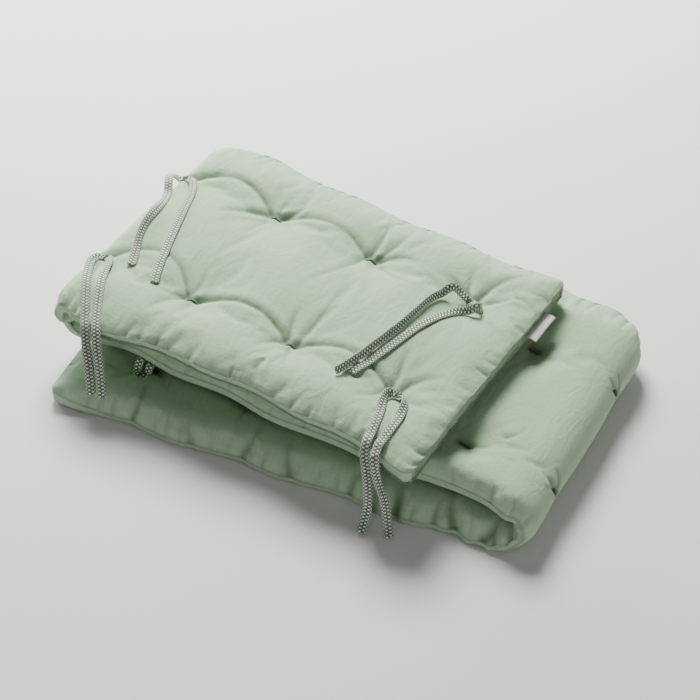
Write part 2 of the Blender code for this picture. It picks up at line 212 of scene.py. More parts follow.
# how far the front and back seams lie from the middle line
sides = (
    dict(place=0.00, front=0.152, back=0.151),
    dict(place=0.06, front=0.146, back=0.152),
    dict(place=0.10, front=0.143, back=0.151),
    dict(place=0.25, front=0.143, back=0.151),
    dict(place=0.36, front=0.156, back=0.156),
    dict(place=0.43, front=0.152, back=0.152),
    dict(place=0.475, front=0.139, back=0.152),
    dict(place=0.56, front=0.131, back=0.150),
    dict(place=0.76, front=0.131, back=0.156),
    dict(place=0.82, front=0.126, back=0.181),
    dict(place=0.87, front=0.122, back=0.182),
    dict(place=0.93, front=0.118, back=0.179),
    dict(place=0.97, front=0.126, back=0.168),
    dict(place=1.015, front=0.135, back=0.152),
    dict(place=1.10, front=0.146, back=0.147),
    dict(place=1.17, front=0.149, back=0.147),
    dict(place=1.30, front=0.145, back=0.148),
    dict(place=pad["length"], front=0.142, back=0.145),
)


# half the height of the boxed edge, and how far the edge droops
edges = (
    dict(place=0.00, band=0.0078, droop=0.0005),
    dict(place=0.05, band=0.0054, droop=0.0020),
    dict(place=0.10, band=0.0042, droop=0.0025),
    dict(place=0.38, band=0.0042, droop=0.0025),
    dict(place=0.45, band=0.0034, droop=0.004),
    dict(place=0.56, band=0.0042, droop=0.0055),
    dict(place=0.90, band=0.0040, droop=0.0065),
    dict(place=0.97, band=0.0030, droop=0.0060),
    dict(place=1.03, band=0.0026, droop=0.0040),
    dict(place=1.09, band=0.0019, droop=0.0092),
    dict(place=1.50, band=0.0019, droop=0.0092),
    dict(place=pad["length"], band=0.0060, droop=0.0015),
)


def edgeValue(place, name):
    return np.interp(place, [row["place"] for row in edges], [row[name] for row in edges])


def ease(share):
    share = np.clip(share, 0, 1)
    return share * share * (3 - 2 * share)


def foldTurn(layer, share):
    return math.pi * share - layer["square"] * math.sin(4 * math.pi * share) / 4


def foldPace(layer):
    steps = 20
    sines = [math.sin(foldTurn(layer, (step + 0.5) / steps)) for step in range(steps)]
    return (folded["layerPitch"] + layer["climb"]) * steps / (layer["cloth"] * sum(sines))


def posture(place):
    # heading, turn round a fold, side (+1 where the labelled side faces up), pace and reach
    side, start = 1, 0.0
    for layer in layers:
        end = start + layer["length"]
        if place <= end or layer is layers[-1]:
            veer = float(ease((place - layer["veerFrom"]) / (layer["veerTo"] - layer["veerFrom"])))
            heading = layer["heading"] + veer * (layer["veered"] - layer["heading"])
            return math.radians(heading), -layer["climb"] / layer["length"], side, 1.0, 1.0
        start = end + layer["cloth"]
        if place <= start:
            turn = foldTurn(layer, (place - end) / layer["cloth"])
            return math.radians(layer["veered"]), turn, side, foldPace(layer), layer["reach"]
        side = -side


def foldTable():
    # middle point and directions at close places along the pad
    step = folded["tableStep"]
    margin = 40
    count = round(pad["length"] / step) + margin
    up = Vector((0, 0, 1))
    rows = []
    point = Vector(folded["labelEnd"])
    for number in range(-margin, count + 1):
        heading, turn, side, pace, reach = posture(number * step)
        ahead = Vector((math.cos(heading), math.sin(heading), 0))
        onwards = (ahead * math.cos(turn) * reach - up * math.sin(turn)) * pace
        across = Vector((ahead.y, -ahead.x, 0)) * side
        outwards = (up * math.cos(turn) * reach + ahead * math.sin(turn)).normalized()
        rows.append((number * step, onwards, across, outwards * side, max(outwards.dot(ahead), 0), side))
    places = np.array([row[0] for row in rows])
    strides = np.array([row[1][:] for row in rows]) * step
    middle = np.concatenate((np.zeros((1, 3)), np.cumsum((strides[1:] + strides[:-1]) / 2, axis=0)))
    middle += np.array(point) - middle[margin]
    return dict(place=places, middle=middle, across=np.array([row[2][:] for row in rows]),
                outwards=np.array([row[3][:] for row in rows]), bent=np.array([row[4] for row in rows]))


def tufts():
    for column in range(pad["columns"]):
        for row in (-pad["tuftRow"], pad["tuftRow"]):
            yield pad["firstTuft"] + column * pad["pitch"], row


def seamReach(place, side):
    # distance from the middle line to one seam, with rounded corners
    knots = np.array([row["place"] for row in sides])
    reach = np.array([row[side] for row in sides])
    place = np.clip(place, 0, pad["length"])
    number = np.clip(np.searchsorted(knots, place, side="left") - 1, 0, len(knots) - 2)
    share = ease((place - knots[number]) / (knots[number + 1] - knots[number]))
    width = reach[number] + share * (reach[number + 1] - reach[number])
    width -= pad["sidePull"] * np.cos(2 * math.pi * (place - pad["firstTuft"]) / pad["pitch"])
    short = np.clip(pad["cornerRadius"] - np.minimum(place, pad["length"] - place), 0, None)
    return width - (pad["cornerRadius"] - np.sqrt(pad["cornerRadius"] ** 2 - short ** 2))


def edgeDistance(place, column):
    return np.minimum(np.minimum(place, pad["length"] - place), pad["width"] / 2 - np.abs(column))


def plainHeight(place, column):
    # half thickness of the pad as if it had no tufts: boxy at the seams
    share = np.clip(edgeDistance(place, column) / loft["rise"], 0, 1)
    band = edgeValue(place, "band")
    return band + (loft["crown"] - band) * (1 - (1 - share) ** 2.6) ** 0.45


def startHeight(place, column):
    # half thickness before the cloth settles
    height = plainHeight(place, column)
    for tuftPlace, tuftRow in tufts():
        away = np.hypot(np.clip(np.abs(place - tuftPlace) - 0.004, 0, None), column - tuftRow)
        height = height * (1 - loft["tuftDepth"] * np.exp(-away / loft["tuftSpread"]))
    return height


settle = dict(cell=0.004, frames=14, quality=5, pressure=5, slack=0.017, seamSlack=0.006, seamBand=0.03,
              stretch=15, shear=5, bend=0.6, noise=0.0006, noiseScale=55, cap=0.007, seamCap=0.002)


def settlePanel():
    # one panel pinned at its seams and tufts, with a little slack, swollen by the wadding
    length, width = pad["length"], pad["width"]
    along, across = round(length / settle["cell"]), round(width / settle["cell"])
    bm = bmesh.new()
    bmesh.ops.create_grid(bm, x_segments=along, y_segments=across, size=0.5)
    panel = linkNew("panel", bpy.data.meshes.new("panel"))
    bm.to_mesh(panel.data)
    bm.free()
    spots = np.empty(len(panel.data.vertices) * 3)
    panel.data.vertices.foreach_get("co", spots)
    spots = spots.reshape(-1, 3)
    cells = np.rint((spots[:, :2] + 0.5) * (along, across)).astype(int)
    place, column = (spots[:, 0] + 0.5) * length, spots[:, 1] * width
    height = startHeight(place, column)
    start = np.stack((place, column, height), axis=1)
    ripple = [noise.noise(Vector(row) * settle["noiseScale"]) for row in start]
    wavy = start.copy()
    wavy[:, 2] += settle["noise"] * np.array(ripple)
    panel.data.vertices.foreach_set("co", wavy.ravel())
    edge = edgeDistance(place, column)
    held = panel.vertex_groups.new(name="held")
    slack = panel.vertex_groups.new(name="slack")
    near = np.full(len(place), 1.0)
    for tuftPlace, tuftRow in tufts():
        apart = (np.clip(np.abs(place - tuftPlace) - loft["tackLong"] / 2, 0, None)
                 + np.clip(np.abs(column - tuftRow) - loft["tackWide"] / 2, 0, None))
        near = np.minimum(near, apart)
    held.add(np.flatnonzero((near < settle["cell"] * 0.4) | (edge < 1e-5)).tolist(), 1.0, "REPLACE")
    share = np.clip(edge / settle["seamBand"], 0, 1)
    for number, weight in enumerate(share):
        slack.add([number], float(weight), "REPLACE")
    cloth = panel.modifiers.new("cloth", "CLOTH")
    stuff = cloth.settings
    stuff.quality = settle["quality"]
    stuff.tension_stiffness = stuff.compression_stiffness = settle["stretch"]
    stuff.shear_stiffness = settle["shear"]
    stuff.bending_stiffness = settle["bend"]
    stuff.use_pressure = True
    stuff.uniform_pressure_force = settle["pressure"]
    stuff.vertex_group_mass = "held"
    stuff.vertex_group_shrink = "slack"
    stuff.shrink_min, stuff.shrink_max = -settle["seamSlack"], -settle["slack"]
    stuff.effector_weights.gravity = 0
    cloth.collision_settings.use_collision = False
    cloth.point_cache.frame_end = settle["frames"]
    for number in range(1, settle["frames"] + 1):
        scene.frame_set(number)
    settled = panel.evaluated_get(bpy.context.evaluated_depsgraph_get()).data
    ended = np.empty(len(settled.vertices) * 3)
    settled.vertices.foreach_get("co", ended)
    moved = ended.reshape(-1, 3) - start
    far = np.linalg.norm(moved, axis=1)
    cap = settle["seamCap"] + (settle["cap"] - settle["seamCap"]) * share
    start = start + moved * (cap * np.tanh(far / cap) / np.maximum(far, 1e-9))[:, None]
    scene.frame_set(1)
    bpy.data.objects.remove(panel, do_unlink=True)
    field = np.zeros((along + 1, across + 1, 3))
    field[cells[:, 0], cells[:, 1]] = start
    return field


def sampleField(field, place, column):
    # the settled panel between its grid points, by cubic steps each way
    rows = np.clip(place / pad["length"], 0, 1) * (field.shape[0] - 1)
    columns = np.clip(column / pad["width"] + 0.5, 0, 1) * (field.shape[1] - 1)

    def cubic(at, size):
        base = np.clip(np.floor(at).astype(int), 0, size - 2)
        x = at - base
        taps = [np.clip(base + step, 0, size - 1) for step in (-1, 0, 1, 2)]
        weights = [(-x + 2 * x * x - x ** 3) / 2, (2 - 5 * x * x + 3 * x ** 3) / 2,
                   (x + 4 * x * x - 3 * x ** 3) / 2, (x ** 3 - x * x) / 2]
        return taps, weights

    rowTaps, rowWeights = cubic(rows, field.shape[0])
    columnTaps, columnWeights = cubic(columns, field.shape[1])
    result = np.zeros((len(place), 3))
    for rowTap, rowWeight in zip(rowTaps, rowWeights):
        for columnTap, columnWeight in zip(columnTaps, columnWeights):
            result += field[rowTap, columnTap] * (rowWeight * columnWeight)[:, None]
    return result


# creases on the labelled side, in millimetres from a tuft: away from the labelled end, then to the back
# columns count from the labelled end; arch creases run on to the next tuft and bow to the back
madeCreases = (
    dict(column=0, row=1, start=(7, 1), end=(38, 17), bow=-3, deep=3.4, wide=3.4),
    dict(column=0, row=1, start=(5, 4), end=(16, 32), bow=2, deep=2.6, wide=3.0),
    dict(column=0, row=1, start=(-4, 4), end=(-33, 58), bow=6, deep=3.2, wide=3.6),
    dict(column=0, row=1, start=(-7, 1), end=(-34, 22), bow=-2, deep=2.2, wide=3.0),
    dict(column=0, row=1, start=(-36, 24), end=(-60, 18), bow=2, deep=2.0, wide=3.0),
    dict(column=0, row=1, start=(-5, -5), end=(-30, -30), bow=3, deep=1.4, wide=3.5),
    dict(column=0, row=-1, start=(5, 5), end=(18, 55), bow=-3, deep=2.6, wide=3.6),
    dict(column=0, row=-1, start=(-5, 5), end=(-38, 38), bow=5, deep=2.6, wide=4.0),
    dict(column=0, row=-1, start=(7, -3), end=(26, -32), bow=2, deep=2.0, wide=3.6),
    dict(column=0, row=-1, start=(-8, -2), end=(-62, 1), bow=-4, deep=1.8, wide=4.0),
    dict(column=0, row=-1, start=(-2, -6), end=(-12, -44), bow=-3, deep=1.4, wide=4.0),
    dict(column=1, row=1, start=(3, 3), end=(12, 64), bow=-3, deep=3.2, wide=3.4),
    dict(column=1, row=1, start=(-4, 4), end=(-17, 56), bow=-5, deep=2.4, wide=3.6),
    dict(column=1, row=1, start=(-7, 0), end=(-52, 14), bow=8, deep=2.8, wide=3.4),
    dict(column=1, row=1, start=(8, -3), end=(36, -78), bow=4, deep=2.0, wide=3.8),
    dict(column=1, row=1, start=(-8, -3), end=(-56, -18), bow=-3, deep=1.6, wide=4.6),
    dict(column=1, row=-1, start=(5, 5), end=(15, 48), bow=4, deep=2.4, wide=3.6),
    dict(column=1, row=-1, start=(-5, 4), end=(-2, 96), bow=-4, deep=1.8, wide=3.6),
    dict(column=1, row=-1, start=(7, -1), end=(25, -30), bow=-4, deep=2.2, wide=3.4),
    dict(column=1, row=-1, start=(6, -40), end=(9, -62), bow=1, deep=2.2, wide=3.6),
    dict(column=1, row=-1, start=(-3, -6), end=(-10, -50), bow=3, deep=1.4, wide=4.0),
    dict(column=2, row=1, start=(-4, 3), end=(-22, 34), bow=-5, deep=3.4, wide=3.2),
    dict(column=2, row=1, start=(-1, 4), end=(-2, 26), bow=2, deep=2.2, wide=3.2),
    dict(column=2, row=1, start=(8, -2), end=(55, -38), bow=-4, deep=2.2, wide=4.0),
    dict(column=2, row=1, start=(8, 2), end=(52, -14), bow=5, deep=2.0, wide=4.0),
    dict(column=2, row=1, start=(4, -5), end=(12, -50), bow=2, deep=1.3, wide=4.5),
    dict(column=2, row=-1, start=(3, 5), end=(9, 40), bow=-2, deep=1.8, wide=3.6),
    dict(column=2, row=-1, start=(8, -3), end=(26, -50), bow=-5, deep=2.0, wide=4.2),
    dict(column=2, row=-1, start=(7, 0), end=(42, -8), bow=3, deep=1.8, wide=4.0),
    dict(column=2, row=-1, start=(-3, -5), end=(4, -46), bow=3, deep=1.3, wide=4.5),
    dict(column=3, row=1, start=(-4, -4), end=(-30, -34), bow=3, deep=1.6, wide=4.0),
    dict(column=3, row=-1, start=(-5, -4), end=(-26, -40), bow=-3, deep=1.8, wide=4.0),
)
archCreases = (
    dict(column=3, row=1, bow=20, deep=3.4, wide=3.6, middle=0.75),
    dict(column=2, row=1, bow=16, deep=3.2, wide=3.6, middle=0.60),
    dict(column=1, row=1, bow=13, deep=2.6, wide=3.4, middle=0.10),
    dict(column=3, row=-1, bow=33, deep=3.0, wide=3.8, middle=0.55),
    dict(column=2, row=-1, bow=18, deep=3.4, wide=3.6, middle=0.80),
    dict(column=1, row=-1, bow=18, deep=3.2, wide=3.6, middle=0.70),
)
# the same for the plain side round the fold at the right
plainCreases = (
    dict(column=7, row=-1, start=(4, 1), end=(24, 8), bow=2, deep=2.2, wide=3.4),
    dict(column=7, row=-1, start=(3, -4), end=(14, -26), bow=-2, deep=1.4, wide=3.6),
    dict(column=7, row=1, start=(4, 0), end=(30, -8), bow=3, deep=1.4, wide=4.2),
    dict(column=7, row=1, start=(2, -5), end=(8, -34), bow=3, deep=1.2, wide=4.4),
    dict(column=8, row=1, start=(-2, 3), end=(-20, 12), bow=2, deep=2.8, wide=2.6),
    dict(column=8, row=1, start=(-2, 0), end=(-27, 1), bow=-2, deep=3.0, wide=2.8),
    dict(column=8, row=1, start=(-2, -3), end=(-18, -12), bow=2, deep=2.2, wide=2.6),
    dict(column=8, row=1, start=(2, 0), end=(16, 2), bow=1, deep=3.4, wide=2.4),
    dict(column=8, row=-1, start=(-2, 3), end=(-22, 14), bow=3, deep=2.8, wide=2.6),
    dict(column=8, row=-1, start=(-2, 0), end=(-34, 2), bow=-3, deep=3.0, wide=2.8),
    dict(column=8, row=-1, start=(-2, -3), end=(-20, -14), bow=2, deep=2.4, wide=2.6),
    dict(column=8, row=-1, start=(2, 0), end=(18, -2), bow=1, deep=3.6, wide=2.4),
    dict(column=7, row=-1, start=(30, 22), end=(42, 48), bow=4, deep=1.8, wide=3.0),
)
# gathers in from the front seam: place and length inwards in millimetres, on the labelled side or the plain one
frontGathers = (
    dict(place=1068, long=36, lean=12, bow=5, deep=5.0, wide=6.0, labelledSide=True),
    dict(place=1088, long=58, lean=-10, bow=-7, deep=7.5, wide=7.0, labelledSide=True),
    dict(place=1117, long=62, lean=16, bow=8, deep=7.0, wide=7.5, labelledSide=True),
    dict(place=1141, long=34, lean=-5, bow=3, deep=4.0, wide=6.0, labelledSide=True),
    dict(place=1183, long=44, lean=14, bow=-6, deep=3.6, wide=8.0, labelledSide=True),
    dict(place=1236, long=26, lean=-12, bow=4, deep=3.0, wide=6.0, labelledSide=True),
    dict(place=1297, long=38, lean=10, bow=5, deep=3.0, wide=7.0, labelledSide=True),
    dict(place=1352, long=50, lean=-6, bow=-4, deep=3.6, wide=5.5, labelledSide=True),
    dict(place=1405, long=24, lean=10, bow=3, deep=2.4, wide=6.0, labelledSide=True),
    dict(place=1474, long=52, lean=5, bow=-5, deep=3.2, wide=5.0, labelledSide=True),
    dict(place=982, long=30, lean=8, bow=3, deep=4.0, wide=5.5, labelledSide=True),
    dict(place=1009, long=40, lean=-8, bow=-5, deep=5.0, wide=6.0, labelledSide=True),
    dict(place=1040, long=34, lean=6, bow=4, deep=5.0, wide=6.0, labelledSide=True),
    dict(place=408, long=30, lean=5, bow=3, deep=5.0, wide=5.5, labelledSide=False),
    dict(place=434, long=36, lean=-6, bow=-3, deep=6.0, wide=6.0, labelledSide=False),
    dict(place=462, long=30, lean=5, bow=3, deep=5.0, wide=5.5, labelledSide=False),
    dict(place=424, long=24, lean=7, bow=2, deep=3.4, wide=5.0, labelledSide=True),
    dict(place=455, long=26, lean=-6, bow=-2, deep=3.4, wide=5.0, labelledSide=True),
)
# small puckers all along the seams
puckers = dict(seed=31, apart=(0.011, 0.030), long=(0.009, 0.027), deep=(0.0008, 0.0021), wide=(0.0024, 0.0038), lean=0.35)
# how far the seam is pulled in at a front gather, per unit of its depth
gatherPull = 0.45
# the other tufts crease at random, alike in size
strewn = dict(seed=7, toEdge=3, inward=2, long=(0.028, 0.062), deep=(1.4, 3.0), wide=(3.2, 4.4), archBow=(8, 24))


def tuftSpot(column, row):
    return np.array((pad["firstTuft"] + column * pad["pitch"], row * pad["tuftRow"]))


def pressCrease(heights, paintedShade, place, column, crease):
    # sinks one crease, with a low ridge along either side, and paints shade along its trough
    start, end = crease["start"], crease["end"]
    run = end - start
    size = np.linalg.norm(run)
    normal = np.array((run[1], -run[0])) / size
    shares = np.linspace(0, 1, max(6, round(size / 0.0015)))
    line = start + run * shares[:, None] + normal * (crease["bow"] * 4 * shares * (1 - shares))[:, None]
    reach = crease["wide"] * 3.5
    near = np.flatnonzero((place > line[:, 0].min() - reach) & (place < line[:, 0].max() + reach)
                          & (column > line[:, 1].min() - reach) & (column < line[:, 1].max() + reach))
    if len(near) == 0:
        return
    away = np.hypot(place[near, None] - line[None, :, 0], column[near, None] - line[None, :, 1])
    closest = away.argmin(axis=1)
    away = away.min(axis=1) / crease["wide"]
    share = shares[closest]
    if "middle" in crease:
        strength = crease["middle"] + (1 - crease["middle"]) * (2 * share - 1) ** 2
    else:
        strength = (1 - share) ** 0.8 * np.clip(share * size / 0.003 + 0.5, 0, 1)
    trough = np.exp(0.25 - np.sqrt(1.6 * away ** 2 + 0.0625))
    heights[near] -= crease["deep"] * strength * (trough - 0.34 * np.exp(-((away - 2.2) / 1.2) ** 2))
    # painted shade along the crease's trough, fading away from it
    paintedShade[near] = np.maximum(paintedShade[near], strength * np.exp(-(away * 1.6) ** 2) * min(1, crease["deep"] / 0.003))


def inMetres(crease, spot):
    return dict(crease, start=spot + np.array(crease["start"]) / 1000, end=spot + np.array(crease["end"]) / 1000,
                bow=crease["bow"] / 1000, deep=crease["deep"] / 1000, wide=crease["wide"] / 1000)


def puckerCreases(labelledSide):
    rng = random.Random(puckers["seed"] + labelledSide)
    length, half = pad["length"], pad["width"] / 2
    seams = ((np.array((0, -half)), np.array((0, 1)), 2 * half, np.array((1, 0))),
             (np.array((length, -half)), np.array((0, 1)), 2 * half, np.array((-1, 0))),
             (np.array((0, -half)), np.array((1, 0)), length, np.array((0, 1))),
             (np.array((0, half)), np.array((1, 0)), length, np.array((0, -1))))
    found = []
    for corner, along, size, inwards in seams:
        reach = rng.uniform(*puckers["apart"])
        while reach < size - 0.01:
            start = corner + along * reach
            if not labelledSide and start[0] < 0.42:
                reach += 0.02
                continue
            way = inwards + along * rng.uniform(-puckers["lean"], puckers["lean"])
            found.append(dict(start=start, end=start + way * rng.uniform(*puckers["long"]), bow=rng.uniform(-0.002, 0.002),
                              deep=rng.uniform(*puckers["deep"]), wide=rng.uniform(*puckers["wide"])))
            reach += rng.uniform(*puckers["apart"])
    return found


def creasesOf(labelledSide):
    rng = random.Random(strewn["seed"] + labelledSide)
    found = []
    for column in range(pad["columns"]):
        for row in (-1, 1):
            spot = tuftSpot(column, row)
            made = labelledSide and column <= 3 or not labelledSide and column in (7, 8)
            if column > 0 and not made and not (not labelledSide and column == 9):
                found.append(inMetres(dict(
                    start=(-6, 0), end=(6 - pad["pitch"] * 1000, 0), bow=rng.uniform(*strewn["archBow"]) * rng.choice((1, 1, -1)),
                    deep=rng.uniform(1.6, 3.2), wide=rng.uniform(*strewn["wide"]), middle=rng.uniform(0, 0.7)), spot))
            if made:
                continue
            for number in range(strewn["toEdge"] + strewn["inward"]):
                outward = number < strewn["toEdge"]
                spreadOut = (number - 1) * 38 if outward else (number - strewn["toEdge"] - 0.5) * 70
                angle = math.radians(spreadOut + rng.uniform(-14, 14))
                way = np.array((math.sin(angle), row * (1 if outward else -1) * math.cos(angle))) * 1000
                long = rng.uniform(*strewn["long"])
                found.append(inMetres(dict(
                    start=way * 0.005, end=way * long, bow=rng.uniform(-5, 5),
                    deep=rng.uniform(*strewn["deep"]) * (1 if outward else 0.65),
                    wide=rng.uniform(*strewn["wide"])), spot))
    for crease in (madeCreases if labelledSide else plainCreases):
        found.append(inMetres(crease, tuftSpot(crease["column"], crease["row"])))
    for gather in frontGathers:
        if gather["labelledSide"] == labelledSide:
            seam = np.array((gather["place"] / 1000, -pad["width"] / 2))
            found.append(inMetres(dict(gather, start=(0, -1), end=(gather["lean"], gather["long"])), seam))
    found += puckerCreases(labelledSide)
    if labelledSide:
        for crease in archCreases:
            arch = dict(crease, start=(-6, 1), end=(6 - pad["pitch"] * 1000, 1))
            found.append(inMetres(arch, tuftSpot(crease["column"], crease["row"])))
    return found


shell = dict(bandRings=5, tuck=0.0028, bandBulge=0.0010, seamGroove=0.0008, pucker=0.0007, puckerEvery=0.0075, puckerReach=0.012)
coarse = 0.0058
seamRows = (0.0, 0.0011, 0.0026, 0.0046)


def spacedOut(low, high):
    # even steps, closer beside the seam at either end
    count = round((high - low - 2 * seamRows[-1]) / coarse)
    middle = np.linspace(low + seamRows[-1], high - seamRows[-1], count + 1)
    edge = np.array(seamRows[:-1])
    return np.concatenate((low + edge, middle, high - edge[::-1]))


def seamPucker(place, column, seed):
    # small gathers that run in from a seam and fade
    length, half = pad["length"], pad["width"] / 2
    result = np.zeros(len(place))
    rng = np.random.default_rng(seed)
    phases = rng.uniform(0, 2 * math.pi, (4, 3))
    for number, (away, along) in enumerate(((half - column, place), (half + column, place),
                                            (place, column), (length - place, column))):
        wave = 0
        for part, phase in enumerate(phases[number]):
            every = shell["puckerEvery"] * (1, 1.63, 0.71)[part]
            wave = wave + np.sin(2 * math.pi * along / every + phase + 2.2 * np.sin(along / 0.023 + phase))
        patch = 0.35 + 0.65 * ease(0.5 + 0.7 * np.sin(along / 0.041 + phases[number][0]))
        result += wave / 3 * patch * np.exp(-away / shell["puckerReach"]) * np.clip(away / 0.002, 0, 1)
    return result * shell["pucker"]


def panelShape(table, field, place, column, labelledSide):
    # where each point of one panel lies beside the flat pad, and how much shade is painted on it
    settled = sampleField(field, place, column if labelledSide else -column)
    if not labelledSide:
        settled[:, 1] *= -1
    heights = settled[:, 2]
    # round the outside of a fold the cloth is drawn tight
    outside = np.interp(place, table["place"], table["bent"] * table["side"]) * (1 if labelledSide else -1)
    tight = 0.75 * ease(np.clip(outside, 0, 1) * 1.6)
    heights = heights * (1 - tight) + (plainHeight(place, column) + 0.0012) * tight
    paintedShade = np.zeros(len(place))
    for crease in creasesOf(labelledSide):
        pressCrease(heights, paintedShade, place, column, crease)
    heights += seamPucker(place, column, 3 if labelledSide else 4)
    # painted shade round each tuft's dimple
    for tuftPlace, tuftRow in tufts():
        away = np.hypot(np.clip(np.abs(place - tuftPlace) - 0.005, 0, None), column - tuftRow)
        paintedShade = np.maximum(paintedShade, np.exp(-(away / 0.0045) ** 2))
    edge = edgeDistance(place, column)
    # painted shade along the seams
    paintedShade = np.maximum(paintedShade, 0.8 * np.exp(-(edge / 0.0012) ** 2))
    floor = edgeValue(place, "band") * np.clip(1 - edge / 0.004, 0, 1) + 0.0009
    heights = np.maximum(heights, floor)
    top = place < layers[0]["length"] + layers[0]["cloth"] / 2
    limit = np.where(top, 0.0175 if labelledSide else 0.0125, 0.0122 if labelledSide else 0.0135)
    heights = np.where(heights > limit - 0.002, limit - 0.002 + 0.002 * np.tanh((heights - limit + 0.002) / 0.002), heights)
    return settled[:, 0], settled[:, 1], heights, paintedShade


def foldOver(table, place, column, lift):
    # carries points of the flat pad to where they lie folded
    middle, across, outwards = (
        np.stack([np.interp(place, table["place"], table[part][:, axis]) for axis in range(3)], axis=1)
        for part in ("middle", "across", "outwards"))
    half = pad["width"] / 2
    reach = np.where(column > 0, seamReach(place, "back"), seamReach(place, "front"))
    spread = column * (1 - (1 - reach / half) * (np.abs(column) / half) ** 2)
    outside = np.interp(place, table["place"], table["bent"] * table["side"])
    # the inside of a fold is squeezed, except where it bunches up at the front of the left one
    squeeze = 0.42 - 0.66 * ease((-column - 0.085) / 0.05) * (place < 0.6)
    lift = np.where(lift * outside < 0, lift * (1 - squeeze * np.abs(outside)), lift)
    points = middle + across * spread[:, None] + outwards * lift[:, None]
    rise = np.clip(edgeDistance(place, column) / loft["rise"], 0, 1)
    points[:, 2] -= edgeValue(place, "droop") * (1 - rise) ** 2
    # the front corner of the labelled end rests lower
    points[:, 2] -= 0.006 * np.exp(-(np.maximum(place, 0) / 0.045) ** 2) * ease((-column - 0.07) / 0.07)
    points[:, 2] = np.maximum(points[:, 2], 0)
    return points


def flatSpots(points, places, columns):
    # from the unit grid to places and columns of the flat pad, and the level from -1 to 1
    place = np.interp(points[:, 0], np.linspace(-1, 1, len(places)), places)
    column = np.interp(points[:, 1], np.linspace(-1, 1, len(columns)), columns)
    return place, column, points[:, 2] * 2 - 1


def wantedFine(place, column, level, nearCrease):
    # how many times a face is split: the open faces once, their creases and seams twice
    front = np.where(column > 0, 0, 1)
    edge = edgeDistance(place, column)
    openTop = (level > 0) & (place < 0.47)
    openRight = (level < 0) & (place > 0.85) & (place < 1.08)
    openFront = (level > 0) & (place > 1.07) & (front == 1) & (edge < 0.05)
    once = openTop | openRight | openFront | (edge < 0.006) & (front == 1)
    twice = (openTop | openRight) & nearCrease
    return once.astype(int) + twice


def creaseDistance(place, column, creases):
    away = np.full(len(place), 1.0)
    for crease in creases:
        if crease["deep"] < 0.0012:
            continue
        run = crease["end"] - crease["start"]
        normal = np.array((run[1], -run[0])) / np.linalg.norm(run)
        for share in np.linspace(0, 0.9, 16):
            spot = crease["start"] + run * share + normal * crease["bow"] * 4 * share * (1 - share)
            away = np.minimum(away, np.hypot(place - spot[0], column - spot[1]))
    return away


def refine(bm, places, columns):
    creases = {side: creasesOf(side) for side in (True, False)}
    for wanted in (1, 2):
        centres = np.array([face.calc_center_median()[:] for face in bm.faces])
        place, column, level = flatSpots(centres, places, columns)
        near = np.zeros(len(place), dtype=bool)
        for side in (True, False):
            mine = np.flatnonzero((level > 0) == side)
            near[mine] = creaseDistance(place[mine], column[mine], creases[side]) < 0.0055
        for tuftPlace, tuftRow in tufts():
            near |= np.hypot(place - tuftPlace, column - tuftRow) < 0.012
        chosen = wantedFine(place, column, level, near) >= wanted
        edges = {edge for face, take in zip(bm.faces, chosen) if take for edge in face.edges}
        bmesh.ops.subdivide_edges(bm, edges=list(edges), cuts=1, use_grid_fill=True)


